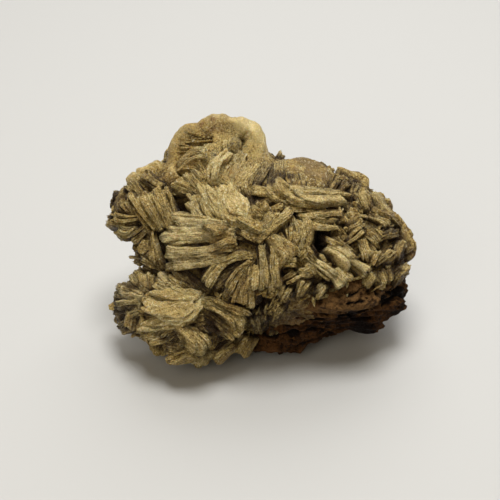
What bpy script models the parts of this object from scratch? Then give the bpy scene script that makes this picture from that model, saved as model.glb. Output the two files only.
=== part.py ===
"""Barite cluster: a hand-sized cabinet specimen that stands on its own.

Two pieces:
  barite_crystals  crested sheaves of thick, blunt plates, grown together into one lumpy mass
  matrix           the lump of iron-stained rock they grew on, worn flat where it rests

Units in the tables are millimetres. The scene is in metres, +Z up, the rest face at z = 0.
"""
import math
import random

import bmesh
import bpy
from mathutils import Vector, noise

MM = 0.001
SEED = 7

# The mass is a group of rounded lobes that met as they grew: centre and half-widths.
LOBES = {
    "middle": ((1, -2, 36), (39, 32, 30)),
    "right": ((30, 1, 33), (25, 27, 19)),
    "crest_left": ((-23, 25, 53.5), (11.5, 12, 17)),
    "crest_middle": ((-14.5, 27, 56), (11, 11, 15.5)),
    "crest_right": ((-8.5, 27, 55.5), (13.5, 12.5, 18)),
    "shoulder": ((18.5, 19, 41), (24, 13, 16.5)),
    "left": ((-42, 9, 44.5), (14, 13, 13)),
    "left_waist": ((-36, 0, 30), (7, 12, 12)),
    "left_foot": ((-42.5, -14, 17.5), (11.5, 11, 12.5)),
    "front": ((-23, -21, 19.5), (19.5, 18, 15)),
}
LOBE_ROUGHNESS = 1.1
SHRINK = 0.8

# The rock below: a thick lump at the right, a thinner foot under the middle, and knobs.
ROCK_LUMPS = {
    "lump": ((19, 2, 26), (35, 29, 21)),
    "front_foot": ((9, 3, 7), (29, 21, 9)),
    "foot": ((-8, 2, 7), (27, 23, 9)),
    "end_knob": ((44, -9, 22), (8, 8, 7)),
    "end_nodule": ((49, -11, 19.5), (4, 4.5, 3.5)),
    "corner_nodule": ((38.5, -15, 14), (6, 5.5, 4.5)),
    "front_ledge": ((30, -24, 30), (13, 6, 4)),
    "front_knob": ((8, -17, 10), (13, 8, 8)),
    "back_knob": ((30, 24, 20), (12, 7, 10)),
    "back_ledge": ((5, 24, 14), (14, 8, 7)),
}
ROCK_ROUGHNESS = 2.2

# Height of the surface where the crystals sit on the rock: low at the left, high at the right.
SEAT_LOW = 8.0
SEAT_RISE = 25.0
SEAT_RISE_FROM = -2.0
SEAT_RISE_TO = 17.0
SEAT_TILT_BACK = -0.12
SEAT_BUMPS = 1.4
SEAT_STEP = 7.0
SEAT_HALF = 77.0
FIT_GAP = 0.3

# The display face: sheaves are placed on a plan tilted back like the face, seen from far off.
FACE_CENTRE = Vector((-2.9, 0.0, 34.0))
FACE_TILT = math.radians(35.0)
FACE_RIGHT = Vector((1.0, 0.0, 0.0))
FACE_UP = Vector((0.0, math.sin(FACE_TILT), math.cos(FACE_TILT)))
FACE_OUT = Vector((0.0, -math.cos(FACE_TILT), math.sin(FACE_TILT)))
SIGHT = 620.0
BLEND = 3.0

# Worn bosses of the crest, rubbed smooth and bare of sheaves: (across, up) on the plan, radius.
WORN_BOSSES = [(-2.0, 41.0, 13.0), (-23.0, 40.0, 11.5), (-13.0, 45.0, 8.0)]

# Sheaves on the display face: root (across, up), tip (across, up), width, plates,
# roll in degrees (0 shows the plates' edges, 90 their flat side), stand-off, depth.
# Past FACE_ON the row is a single broad plate that lies face out.
FACE_ON = 45
FACE_SHEAVES = [
    # middle
    (-6.5, 6.5, -33.5, 5, 7, 2, 18, 6.5, 11),
    (-5, 2, -33.5, 0, 4.5, 1, 5, 5.5, 11),
    (-9, -0.5, -32.5, -4.5, 4.5, 2, -5, 4, 11),
    (-14.5, 9.5, -22.5, 20, 4.5, 2, 15, 5.5, 11),
    (-9.5, 10, -18, 24.5, 7.5, 2, 22, 6, 12),
    (-2, 11, -9, 24, 6, 2, 62, 3.5, 15),
    (4.5, 4.5, -6, 10, 4.5, 1, 40, 3, 9),
    (4.5, 7.5, 10, 15.5, 7.5, 2, 35, 3.5, 9),
    (2.5, 3, 15, 14.5, 3, 1, 0, 6, 10),
    (18, 0.5, 18, 13, 7, 2, 10, 4.5, 11),
    (14, 1.5, 14, 9.5, 4.5, 2, 15, 2.5, 9),
    (9, 6, 16, -4.5, 6.5, 2, 42, 3.5, 10),
    (4.5, 1.5, 5, -14.5, 3.5, 1, 0, 5, 10),
    (8.5, 1.5, 9, -15, 3.5, 1, -5, 4.5, 10),
    (0, -2.5, -17.5, -15.5, 4.5, 2, 12, 4, 10),
    (0.5, -4.5, -10, -16.5, 3.5, 1, 5, 3, 9),
    (0, -6.5, -2.5, -21.5, 4.5, 2, 0, 2.5, 8),
    (-1.5, -6.5, -6, -21, 3, 1, -15, 2, 8),
    (-16, -18.5, -1.5, -29, 6, 2, 15, 5, 10),
    (-13, -18, 0, -24.5, 3, 1, 0, 3, 8),
    (-21, -24.5, -4.5, -32.5, 3.5, 1, 0, 1.5, 8),
    (-17, -17, -30.5, -7.5, 8.5, 3, 25, 2.5, 10),
    # front
    (-17, -20, -40, -23, 9.5, 3, 38, 5.5, 13),
    (-15.5, -21.5, -30.5, -23.5, 4.5, 1, 15, 5.5, 10),
    (-27, -27, -40, -27.5, 5, 2, 25, 3.5, 11),
    (-23.5, -26.5, -31.5, -34.5, 6, 2, 10, 1.5, 9),
    (-22, -36, -33, -38, 8, 3, 30, 2.5, 11),
    (-25, -26.5, -14.5, -37, 7.5, 2, 50, 3.5, 11),
    (-24, -32, -17, -41, 3.5, 1, 5, 3, 9),
    (-15.5, -33, -23.5, -39.5, 4.5, 1, 20, 2, 9),
    (-6.5, -34, -15.5, -40, 5, 2, 20, 1.5, 8),
    (-2, -32, -6.5, -38.5, 4.5, 1, 10, 1, 8),
    # left foot
    (-41.5, -18, -50.5, -15.5, 7.5, 2, 15, 2.5, 9),
    (-41.5, -20.5, -51.5, -22.5, 7, 2, 10, 2.5, 9),
    (-41.5, -24, -49.5, -29.5, 6, 2, 15, 2, 9),
    (-40, -15, -45, -8.5, 6.5, 2, 15, 2.5, 9),
    (-37.5, -14, -38, -7.5, 5, 2, 20, 2, 9),
    (-43, -25.5, -44, -32, 5, 2, 10, 1.5, 8),
    (-28, -17.5, -36, -10.5, 8, 3, 20, 3, 9),
    # left
    (-36, 10, -39, 22, 3, 1, 0, 4.5, 10),
    (-32, 8.5, -35.5, 23, 4.5, 1, 5, 4.5, 10),
    (-29, 8, -31, 24, 4, 1, 10, 3, 10),
    (-37.5, 12, -42.5, 22, 4.5, 1, 5, 3, 9),
    (-36, 25, -38.5, 30.5, 14, 3, 25, 2, 10),
    (-42, 23.5, -46.5, 25, 7.5, 2, 20, 1.5, 9),
    (-46, 16, -53, 18, 8, 3, 15, 1.5, 9),
    (-42.5, 7.5, -49.5, 7.5, 5, 2, 10, 3, 9),
    (-34.5, 10, -45, 2.5, 3.5, 1, 5, 3.5, 9),
    (-36, 7.5, -33, -4.5, 4.5, 2, 0, 2, 9),
    (-32.5, -6.5, -41, -1.5, 5, 2, 15, 1.5, 9),
    # crest
    (-15.5, 27.5, -21, 36, 11.5, 3, 35, 3.5, 11),
    (-12, 30.5, -14, 39.5, 5, 2, 10, 3, 9),
    (-7.5, 33, -8, 40.5, 5, 2, 20, 2.5, 9),
    (-7.5, 23, -3.5, 36, 11, 3, 48, 4, 13),
    (-2.5, 24, 3.5, 34.5, 3.5, 1, 0, 5, 10),
    (1.5, 23, 7.5, 34, 4, 1, 5, 4.5, 10),
    (8, 23, 9.5, 36, 6, 2, 10, 3, 10),
    (-22.5, 21, -29, 23.5, 5.5, 2, 20, 2.5, 9),
    (-17.5, 21.5, -24, 29, 7.5, 2, 15, 3, 9),
    (-9.5, 23, -17, 29, 7, 2, 20, 3, 9),
    # right
    (18, 16.5, 6, 22.5, 7.5, 2, 18, 4, 10),
    (11.5, 19.5, 0.5, 22, 3.5, 1, 5, 3.5, 8),
    (4.5, 15, 13, 18, 3.5, 1, 5, 2.5, 8),
    (37, 19.5, 17.5, 20, 3.5, 1, 5, 6, 10),
    (36, 16, 17, 17, 3.5, 1, 28, 6.5, 10),
    (34.5, 13, 19, 13, 2, 1, 0, 4.5, 9),
    (25, 21.5, 24, 32, 11.5, 2, 58, 2, 12),
    (27, 25.5, 25, 30.5, 7.5, 2, 60, 1.5, 10),
    (16, 24.5, 14.5, 32.5, 5, 2, 5, 1, 8),
    (44, 13.5, 52, 9, 4, 1, 35, 2.5, 8),
    (46.5, 4, 55.5, 7.5, 3.5, 1, 5, 2.5, 8),
    (40.5, 4.5, 43.5, -3.5, 4.5, 1, 5, 2, 8),
    (30, 1, 39.5, -7.5, 7, 2, 58, 3.5, 9),
    (22.5, -3.5, 33.5, -10, 3.5, 1, 8, 4.5, 9),
    (35.5, -15.5, 35, -7.5, 6, 1, 58, 3, 9),
    (46.5, 15.5, 43, 22, 4.5, 1, 10, 1.5, 8),
]

# Sheaves on the sides and back follow each lobe's form instead of a plan.
SIDE_SHEAVES = {
    "middle": 26,
    "right": 22,
    "crest_left": 12,
    "crest_right": 16,
    "shoulder": 22,
    "left": 14,
    "left_waist": 8,
    "left_foot": 10,
    "front": 14,
}
SIDE_LENGTH = (12.0, 19.0)
SIDE_WIDTH = (5.5, 9.5)
SIDE_DEPTH = 9.0
SIDE_STAND_OFF = (2.0, 4.5)
SIDE_FACING_LIMIT = 0.12

# A plate's outline, as fractions of its length (along) and depth (below its crest).
PLATE_OUTLINE = [
    (0.0, 0.30), (0.45, 0.0), (0.84, 0.07), (1.0, 0.36), (0.88, 1.0), (0.05, 1.0),
]
PLATE_ROOT_THICKNESS = 0.62

# A face-on plate's outline, as fractions of its length and width.
BROAD_OUTLINE = [
    (0.0, 0.3), (0.2, 0.02), (0.8, 0.0), (1.0, 0.25), (0.96, 0.8), (0.7, 1.0), (0.15, 0.95),
]
BROAD_HEIGHT = 1.2
BROAD_DEPTH = 5.0
PLATE_FILL = 0.86
FAN = 0.6

BARITE = (0.34, 0.25, 0.11, 1.0)
RUSTY_ROCK = (0.06, 0.03, 0.012, 1.0)


def clear_scene():
    for item in list(bpy.data.objects):
        bpy.data.objects.remove(item, do_unlink=True)


def make_material(name, colour, roughness):
    material = bpy.data.materials.new(name)
    material.use_nodes = True
    shader = material.node_tree.nodes["Principled BSDF"]
    shader.inputs["Base Color"].default_value = colour
    shader.inputs["Roughness"].default_value = roughness
    shader.inputs["Metallic"].default_value = 0.0
    return material


def add_object(name, mesh, collection=None):
    item = bpy.data.objects.new(name, mesh)
    (collection or bpy.context.scene.collection).objects.link(item)
    return item


def make_guide(item):
    """Marks a cutter or an operand, so that it isn't taken for a piece."""
    item.hide_render = True
    item.display_type = "WIRE"
    return item


# ---- the form of the mass ----

def lobe_distance(point, centre, radii):
    """Roughly how far a point lies outside an ellipsoid, in mm."""
    offset = point - Vector(centre)
    scaled = Vector([offset[i] / radii[i] for i in range(3)])
    twice = Vector([scaled[i] / radii[i] for i in range(3)])
    reach = max(scaled.length, 1e-6)
    return reach * (reach - 1.0) / max(twice.length, 1e-6)


def all_lumps():
    return list(LOBES.values()) + [ROCK_LUMPS["lump"]]


def mass_distance(point):
    """Distance outside the whole mass, with the creases between lobes softened."""
    nearest = [lobe_distance(point, centre, radii) for centre, radii in all_lumps()]
    least = min(nearest)
    total = sum(math.exp((least - value) / BLEND) for value in nearest)
    return least - BLEND * math.log(total)


def mass_normal(point):
    step = 0.5
    slope = []
    for axis in range(3):
        shift = Vector((0.0, 0.0, 0.0))
        shift[axis] = step
        slope.append(mass_distance(point + shift) - mass_distance(point - shift))
    return Vector(slope).normalized()


def face_point(across, up, stand_off):
    """The place on the mass behind a point of the face plan, raised by the stand-off."""
    eye = FACE_CENTRE + FACE_OUT * SIGHT
    aim = FACE_CENTRE + FACE_RIGHT * across + FACE_UP * up
    sight = (aim - eye).normalized()
    travel = SIGHT - 90.0
    closest = (1e9, travel)
    for _ in range(70):
        gap = mass_distance(eye + sight * travel)
        closest = min(closest, (gap, travel))
        if gap < 0.02:
            break
        travel += max(gap * 0.8, 0.15)
    return eye + sight * (closest[1] - stand_off), -sight


def seat_height(x, y):
    """Height of the rock's top at a place, in mm."""
    t = min(max((x - SEAT_RISE_FROM) / (SEAT_RISE_TO - SEAT_RISE_FROM), 0.0), 1.0)
    rise = SEAT_RISE * t * t * (3.0 - 2.0 * t)
    bumps = SEAT_BUMPS * (math.sin(x * 0.31 + 1.0) + math.sin(y * 0.27 + x * 0.11))
    return SEAT_LOW + rise * (1.0 + SEAT_TILT_BACK * (y + 28.0) / 28.0) + bumps


# ---- bodies ----

def lumpy_ellipsoid(name, centre, radii, roughness, collection=None):
    """A rounded lump with seeded bumps."""
    shape = bmesh.new()
    bmesh.ops.create_icosphere(shape, subdivisions=2, radius=1.0)
    for vertex in shape.verts:
        way = vertex.co.normalized()
        place = Vector(centre) + Vector([way[i] * radii[i] for i in range(3)])
        bump = noise.noise(place * 0.11 + Vector((SEED, 0, 0))) * roughness * 2.0
        vertex.co = (place + way * bump) * MM
    mesh = bpy.data.meshes.new(name)
    shape.to_mesh(mesh)
    shape.free()
    return add_object(name, mesh, collection)


def seat_block(name, gap):
    """Everything below the seat, as a closed block; the gap raises its top."""
    count = int(round(2 * SEAT_HALF / SEAT_STEP))
    shape = bmesh.new()
    top = []
    base = []
    for row in range(count + 1):
        for column in range(count + 1):
            x = -SEAT_HALF + column * SEAT_STEP
            y = -SEAT_HALF + row * SEAT_STEP
            top.append(shape.verts.new(Vector((x, y, seat_height(x, y) + gap)) * MM))
            base.append(shape.verts.new(Vector((x, y, -20.0)) * MM))
    side = count + 1

    def strip(a, b):
        shape.faces.new((top[a], base[a], base[b], top[b]))

    for row in range(count):
        for column in range(count):
            a = row * side + column
            shape.faces.new((top[a], top[a + 1], top[a + side + 1]))
            shape.faces.new((top[a], top[a + side + 1], top[a + side]))
            shape.faces.new((base[a], base[a + side], base[a + side + 1], base[a + 1]))
    for i in range(count):
        strip(i + 1, i)
        strip(count * side + i, count * side + i + 1)
        strip(i * side, (i + 1) * side)
        strip((i + 1) * side + count, i * side + count)
    bmesh.ops.recalc_face_normals(shape, faces=shape.faces)
    mesh = bpy.data.meshes.new(name)
    shape.to_mesh(mesh)
    shape.free()
    return make_guide(add_object(name, mesh))


def prism(first, second, collection):
    """A closed prism between two outlines with the same number of points."""
    shape = bmesh.new()
    rings = [[shape.verts.new(place * MM) for place in outline] for outline in (first, second)]
    shape.faces.new(rings[0])
    shape.faces.new(reversed(rings[1]))
    for i in range(len(first)):
        j = (i + 1) % len(first)
        shape.faces.new((rings[0][j], rings[0][i], rings[1][i], rings[1][j]))
    bmesh.ops.recalc_face_normals(shape, faces=shape.faces)
    mesh = bpy.data.meshes.new("plate")
    shape.to_mesh(mesh)
    shape.free()
    make_guide(add_object("plate", mesh, collection))


def plate(root, along, down, across, length, depth, thickness, collection):
    """One blunt plate: a flat prism, thinner toward the root."""
    outlines = []
    for side in (-0.5, 0.5):
        outline = []
        for s, h in PLATE_OUTLINE:
            thick = thickness * (PLATE_ROOT_THICKNESS + (1.0 - PLATE_ROOT_THICKNESS) * s)
            outline.append(root + along * (s * length) + down * (h * depth) + across * (side * thick))
        outlines.append(outline)
    prism(outlines[0], outlines[1], collection)


def broad_plate(root, tip, outward, width, collection):
    """A plate that lies face out, with its back buried."""
    along = (tip - root).normalized()
    side = along.cross(outward).normalized()
    face = side.cross(along)
    if face.dot(outward) < 0:
        face = -face
    plan = [root + (tip - root) * s + side * ((w - 0.5) * width) for s, w in BROAD_OUTLINE]
    prism([place + face * BROAD_HEIGHT for place in plan], [place - face * BROAD_DEPTH for place in plan], collection)


def sheaf(root, tip, outward, width, plates, roll, depth, collection, rng):
    """Plates side by side, fanning a little from root to tip."""
    along = (tip - root).normalized()
    length = (tip - root).length
    side = along.cross(outward).normalized()
    face = side.cross(along).normalized()
    normal = side * math.cos(roll) + face * math.sin(roll)
    down = normal.cross(along).normalized()
    if down.dot(outward) > 0:
        down = -down
    step = width / plates
    for i in range(plates):
        place = (i - (plates - 1) / 2.0) * step
        start = root + normal * (place * FAN)
        end = tip + normal * place
        reach = length * rng.uniform(0.9, 1.06)
        drop = rng.uniform(-0.5, 0.7)
        way = (end - start).normalized()
        level = (down - way * down.dot(way)).normalized()
        plate(start + level * drop, way, level, way.cross(level), reach, depth, step * PLATE_FILL, collection)


def face_sheaves(collection, rng):
    for row in FACE_SHEAVES:
        root_x, root_y, tip_x, tip_y, width, plates, roll, stand_off, depth = row
        root, _ = face_point(root_x, root_y, stand_off * 0.4)
        tip, outward = face_point(tip_x, tip_y, stand_off)
        if roll > FACE_ON:
            broad_plate(root, tip, outward, width, collection)
            continue
        sheaf(root, tip, outward, width, plates, math.radians(roll), depth, collection, rng)


def side_sheaves(collection, rng):
    """Sheaves spread evenly over the lobes, where the display face doesn't reach."""
    turn = math.pi * (3.0 - math.sqrt(5.0))
    bosses = [(face_point(across, up, 0.0)[0], radius) for across, up, radius in WORN_BOSSES]
    for name, count in SIDE_SHEAVES.items():
        centre, radii = LOBES[name]
        others = [lobe for key, lobe in LOBES.items() if key != name] + [ROCK_LUMPS["lump"]]
        for i in range(count):
            z = 1.0 - 2.0 * (i + 0.5) / count
            ring = math.sqrt(1.0 - z * z)
            way = Vector((ring * math.cos(i * turn), ring * math.sin(i * turn), z))
            place = Vector(centre) + Vector([way[k] * radii[k] for k in range(3)])
            hidden = min(lobe_distance(place, *lobe) for lobe in others) < -0.5
            outward = mass_normal(place)
            on_rock = place.z < seat_height(place.x, place.y) + 3.0
            worn = any((place - boss).length < radius for boss, radius in bosses)
            if hidden or on_rock or worn or outward.dot(FACE_OUT) > SIDE_FACING_LIMIT:
                continue
            flow = way.cross(Vector((rng.uniform(-1, 1), rng.uniform(-1, 1), rng.uniform(-1, 1))))
            flow = (flow - outward * flow.dot(outward)).normalized()
            half = flow * rng.uniform(*SIDE_LENGTH) / 2.0
            lift = rng.uniform(*SIDE_STAND_OFF)
            root = place - half + outward * (lift * 0.3)
            tip = place + half + outward * lift
            width = rng.uniform(*SIDE_WIDTH)
            plates = 1 if width < 7.5 else 2
            roll = math.radians(rng.uniform(-22, 22))
            sheaf(root, tip, outward, width, plates, roll, SIDE_DEPTH, collection, rng)


def add_boolean(item, operation, operand=None, collection=None):
    modifier = item.modifiers.new(operation.lower(), "BOOLEAN")
    modifier.operation = operation
    modifier.solver = "EXACT"
    if collection is not None:
        modifier.operand_type = "COLLECTION"
        modifier.collection = collection
    else:
        modifier.object = operand
    return modifier


def keep_outer_skin(item):
    """Applies the modifiers, then drops bubbles shut in between plates and any loose chip."""
    graph = bpy.context.evaluated_depsgraph_get()
    mesh = bpy.data.meshes.new_from_object(item.evaluated_get(graph))
    item.modifiers.clear()
    item.data = mesh
    shape = bmesh.new()
    shape.from_mesh(mesh)
    unseen = set(shape.verts)
    skins = []
    while unseen:
        skin = [unseen.pop()]
        for vertex in skin:
            for edge in vertex.link_edges:
                other = edge.other_vert(vertex)
                if other in unseen:
                    unseen.remove(other)
                    skin.append(other)
        skins.append(skin)
    skins.sort(key=len)
    for skin in skins[:-1]:
        bmesh.ops.delete(shape, geom=skin, context="VERTS")
    shape.to_mesh(mesh)
    shape.free()


def build_crystals():
    """The lobes and every sheaf as one body, cut to sit on the rock."""
    growth = bpy.data.collections.new("growth")
    bpy.context.scene.collection.children.link(growth)
    rng = random.Random(SEED)
    core = None
    for name, (centre, radii) in LOBES.items():
        inner = [value - SHRINK for value in radii]
        if core is None:
            core = lumpy_ellipsoid("barite_crystals", centre, inner, LOBE_ROUGHNESS)
        else:
            make_guide(lumpy_ellipsoid(name, centre, inner, LOBE_ROUGHNESS, growth))
    face_sheaves(growth, rng)
    side_sheaves(growth, rng)
    add_boolean(core, "UNION", collection=growth)
    add_boolean(core, "DIFFERENCE", seat_block("seat_cutter", FIT_GAP))
    keep_outer_skin(core)
    core.data.materials.append(make_material("barite", BARITE, 0.55))
    return core


def build_matrix():
    """The rock lump: cut flat below, and by the seat above."""
    knobs = bpy.data.collections.new("knobs")
    bpy.context.scene.collection.children.link(knobs)
    rock = None
    for name, (centre, radii) in ROCK_LUMPS.items():
        if rock is None:
            rock = lumpy_ellipsoid("matrix", centre, radii, ROCK_ROUGHNESS)
        else:
            make_guide(lumpy_ellipsoid(name, centre, radii, ROCK_ROUGHNESS, knobs))
    add_boolean(rock, "UNION", collection=knobs)
    add_boolean(rock, "INTERSECT", seat_block("seat", 0.0))
    bpy.ops.mesh.primitive_cube_add(size=0.4, location=(0.0, 0.0, -0.2))
    ground = make_guide(bpy.context.object)
    ground.name = "ground_cutter"
    add_boolean(rock, "DIFFERENCE", ground)
    rock.data.materials.append(make_material("rusty_rock", RUSTY_ROCK, 0.9))
    return rock


clear_scene()
build_crystals()
build_matrix()
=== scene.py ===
import math

import bpy
import numpy as np
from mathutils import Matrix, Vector


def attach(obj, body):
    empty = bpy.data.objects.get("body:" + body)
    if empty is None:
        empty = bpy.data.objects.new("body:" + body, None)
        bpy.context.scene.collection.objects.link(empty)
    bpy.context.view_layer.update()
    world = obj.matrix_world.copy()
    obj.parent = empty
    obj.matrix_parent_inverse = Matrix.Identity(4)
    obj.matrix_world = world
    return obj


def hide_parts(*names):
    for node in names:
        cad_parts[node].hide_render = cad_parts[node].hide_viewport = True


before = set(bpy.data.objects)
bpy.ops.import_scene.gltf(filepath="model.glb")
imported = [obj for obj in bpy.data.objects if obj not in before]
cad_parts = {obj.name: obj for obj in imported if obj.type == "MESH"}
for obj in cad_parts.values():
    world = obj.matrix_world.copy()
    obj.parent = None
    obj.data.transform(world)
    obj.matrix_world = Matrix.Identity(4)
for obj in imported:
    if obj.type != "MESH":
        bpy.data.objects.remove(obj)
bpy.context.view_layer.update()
MM = 0.001

# ---------------------------------------------------------------------------------------------
# The matrix: the lump of iron-stained rock the crystals grew on. It is limonite-cemented stone,
# broken off a vein wall, so it has ledges and pits, and it is rubbed flat where it rests.

# The rounded lumps it is blended from: middle, half sizes. Lengths are in mm, here and below.
ROCK_LUMPS = [
    ((19, 2, 26), (35, 29, 21)), ((9, 3, 7), (29, 21, 9)), ((-8, 2, 7), (27, 23, 9)),
    ((44, -9, 22), (8, 8, 7)), ((49, -11, 19.5), (4, 4.5, 3.5)), ((38.5, -15, 14), (6, 5.5, 4.5)),
    ((30, -24, 30), (13, 6, 4)), ((8, -17, 10), (13, 8, 8)), ((30, 24, 20), (12, 7, 10)),
    ((5, 24, 14), (14, 8, 7)),
]
ROCK_CENTRE = np.array((12.0, 1.0, 14.0))
ROCK_BLEND = 2.0
ROCK_REACH = 70.0
# Its knobs, and the crumbs that only stand out: height, size, seed.
ROCK_KNOBS = ((1.4, 11.0, 3), (1.1, 3.6, 9))
ROCK_CRUMBS = (0.5, 1.8, 11)
# Bedding ledges: the way across the beds, their step and depth, and how much they waver.
BEDDING = np.array((0.16, 0.1, 0.98))
LEDGE_STEP = 3.2
LEDGE_DEPTH = 1.3
LEDGE_WAVER = (0.9, 12.0, 5)
# Slits along the beds: they open where a bump value passes zero, and only in some places.
SLIT_STRETCH = np.array((0.35, 0.35, 1.0))
SLIT_WAVER = (0.6, 5.0, 13)
SLIT_WIDTH = 0.20
SLIT_DEPTH = 2.0
SLIT_PLACES = -0.25
# The ochre seam just under the crystals: its upward way, and the level where it starts.
SEAM_RISE = np.array((0.05, -0.12, 0.99))
SEAM_LEVEL = 21.0
SEAM_SPREAD = 11.0
# Pits: middle, radius, depth. The colour paints shade in the deep ones; the two shallow ones are black
# nodules.
ROCK_PITS = [
    ((28, -31, 19), 4.5, 3.5), ((38, -28, 23), 3.5, 2.5), ((31, -30, 12), 3.5, 3),
    ((16, -29, 15), 3, 2), ((46, -20, 26), 3, 2), ((22, -31, 24), 3, 1.5),
    ((22, -25, 5), 4, 3), ((55, -2, 20), 3.5, 2.5), ((40, 22, 20), 4, 3),
    ((8, 28, 12), 4, 3), ((52, 12, 14), 4, 2.5), ((50, -14, 19), 5, 0.2),
    ((39, -19, 13), 6, 0.2),
]
PIT_SHADE_AND_NODULE_BLACK = (0.007, 0.0035, 0.002, 1)
ROCK_BROWN = (0.016, 0.0058, 0.0015, 1)
ROCK_RUST = (0.125, 0.053, 0.015, 1)
SEAM_OCHRE = (0.21, 0.115, 0.042, 1)
SPECK_RUST = (0.25, 0.115, 0.032, 1)
BUMP_LAYERS = 3


def held(values):
    return np.clip(values, 0.0, 1.0)


def unit(ways):
    return ways / np.linalg.norm(ways, axis=-1, keepdims=True)


def lumps_distance(points, lumps, blend):
    """Roughly how far each point lies outside a group of rounded lumps."""
    reach = []
    for centre, radii in lumps:
        scaled = (points - np.array(centre)) / np.array(radii)
        near = np.linalg.norm(scaled, axis=-1) + 1e-9
        slope = np.linalg.norm(scaled / np.array(radii), axis=-1) + 1e-9
        reach.append(near * (near - 1.0) / slope)
    reach = np.array(reach)
    least = reach.min(axis=0)
    return least - blend * np.log(np.exp((least - reach) / blend).sum(axis=0))


def bumps(points, size, seed):
    """Smooth random values from -1 to 1, with bumps of about the given size."""
    place = points / size + seed * 7.31
    cell = np.floor(place).astype(np.int64)
    part = place - cell
    part = part * part * (3.0 - 2.0 * part)
    total = np.zeros(len(points))
    for step in np.ndindex(2, 2, 2):
        step = np.array(step)
        spot = cell + step
        mixed = spot[:, 0] * 374761393 + spot[:, 1] * 668265263 + spot[:, 2] * 1440662683 + seed * 974711
        mixed = (mixed ^ (mixed >> 13)) * 1274126177 & 0x7FFFFFFF
        value = ((mixed ^ (mixed >> 16)) & 0xFFFF) / 32767.5 - 1.0
        total += value * np.where(step == 1, part, 1.0 - part).prod(axis=1)
    return total


def layered_bumps(points, size, seed):
    """Bumps with smaller bumps on them."""
    total = np.zeros(len(points))
    for layer in range(BUMP_LAYERS):
        total += bumps(points, size / 2.1**layer, seed + layer) / 1.9**layer
    return total


def knobs(points, rows):
    """Layered bumps added up, each row of them a height, a size and a seed."""
    return sum(height * layered_bumps(points, size, seed) for height, size, seed in rows)


def waver(points, height, size, seed):
    return height * bumps(points, size, seed)


def ball(steps):
    """Evenly spread directions and the triangles that join them."""
    bpy.ops.mesh.primitive_ico_sphere_add(subdivisions=steps, radius=1.0)
    template = bpy.context.object
    ways = np.empty(len(template.data.vertices) * 3)
    template.data.vertices.foreach_get("co", ways)
    corners = np.empty(len(template.data.polygons) * 3, dtype=np.int32)
    template.data.polygons.foreach_get("vertices", corners)
    bpy.data.objects.remove(template, do_unlink=True)
    return unit(ways.reshape(-1, 3)), corners.reshape(-1, 3)


def wrap(ways, centre, distance, reach):
    """Where rays drawn in from outside towards the centre first meet a form."""
    travel = np.full(len(ways), reach)
    for _ in range(80):
        gap = distance(centre + ways * travel[:, None])
        travel -= np.where(gap > 0.02, np.maximum(gap * 0.6, 0.02), 0.0)
        travel = np.maximum(travel, 1.0)
    return centre + ways * travel[:, None]


def add_piece(name, points, triangles, masks, material, node):
    """A mesh piece from points in mm, with its masks as attributes, tied to the frame."""
    mesh = bpy.data.meshes.new(name)
    mesh.vertices.add(len(points))
    mesh.vertices.foreach_set("co", (points * MM).astype(np.float32).ravel())
    mesh.loops.add(len(triangles) * 3)
    mesh.loops.foreach_set("vertex_index", triangles.astype(np.int32).ravel())
    mesh.polygons.add(len(triangles))
    mesh.polygons.foreach_set("loop_start", np.arange(0, len(triangles) * 3, 3, dtype=np.int32))
    mesh.update(calc_edges=True)
    mesh.polygons.foreach_set("use_smooth", np.ones(len(triangles), dtype=bool))
    for mask, values in masks.items():
        kind = "FLOAT_VECTOR" if values.ndim == 2 else "FLOAT"
        layer = mesh.attributes.new(mask, kind, "POINT")
        layer.data.foreach_set("vector" if values.ndim == 2 else "value", values.astype(np.float32).ravel())
    mesh.materials.append(material)
    mesh.validate()
    piece = bpy.data.objects.new(name, mesh)
    bpy.context.scene.collection.objects.link(piece)
    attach(piece, "root")
    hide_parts(node)
    return piece


def plug(node, inputs):
    """Links or sets a node's inputs, given by name or number."""
    for label, value in inputs.items():
        if isinstance(value, Value):
            value.tree.links.new(value.socket, node.inputs[label])
        else:
            node.inputs[label].default_value = value


def add_node(tree, kind, inputs, **settings):
    node = tree.nodes.new(kind)
    for name, setting in settings.items():
        setattr(node, name, setting)
    plug(node, inputs)
    return node


class Value:
    """A value in a shader tree. Sums, differences and products of values become Math nodes."""

    def __init__(self, socket):
        self.socket = socket
        self.tree = socket.id_data

    def maths(self, operation, other):
        node = add_node(self.tree, "ShaderNodeMath", {0: self, 1: other}, operation=operation)
        return Value(node.outputs[0])

    def __add__(self, other):
        return self.maths("ADD", other)

    def __sub__(self, other):
        return self.maths("SUBTRACT", other)

    def __mul__(self, other):
        return self.maths("MULTIPLY", other)

    def vector(self, operation, other, label=1, output="Vector"):
        node = add_node(self.tree, "ShaderNodeVectorMath", {0: self, label: other}, operation=operation)
        return Value(node.outputs[output])

    def span(self, low, high, out_low=0.0, out_high=1.0):
        """Stretches low..high to out_low..out_high, held at both ends."""
        inputs = {"Value": self, "From Min": low, "From Max": high, "To Min": out_low, "To Max": out_high}
        node = add_node(self.tree, "ShaderNodeMapRange", inputs, interpolation_type="SMOOTHSTEP")
        return Value(node.outputs["Result"])

    def blend(self, a, b):
        """The colour a where this value is 0, and b where it is 1."""
        node = add_node(self.tree, "ShaderNodeMix", {0: self, 6: a, 7: b}, data_type="RGBA")
        return Value(node.outputs[2])


def noise(place, scale, detail, roughness, distortion=0.0):
    """Soft patches of random value. A larger scale makes them smaller."""
    inputs = {"Vector": place, "Scale": scale, "Detail": detail, "Roughness": roughness}
    inputs["Distortion"] = distortion
    return Value(add_node(place.tree, "ShaderNodeTexNoise", inputs).outputs["Fac"])


def attribute(tree, name, output="Fac"):
    return Value(add_node(tree, "ShaderNodeAttribute", {}, attribute_name=name).outputs[output])


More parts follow.
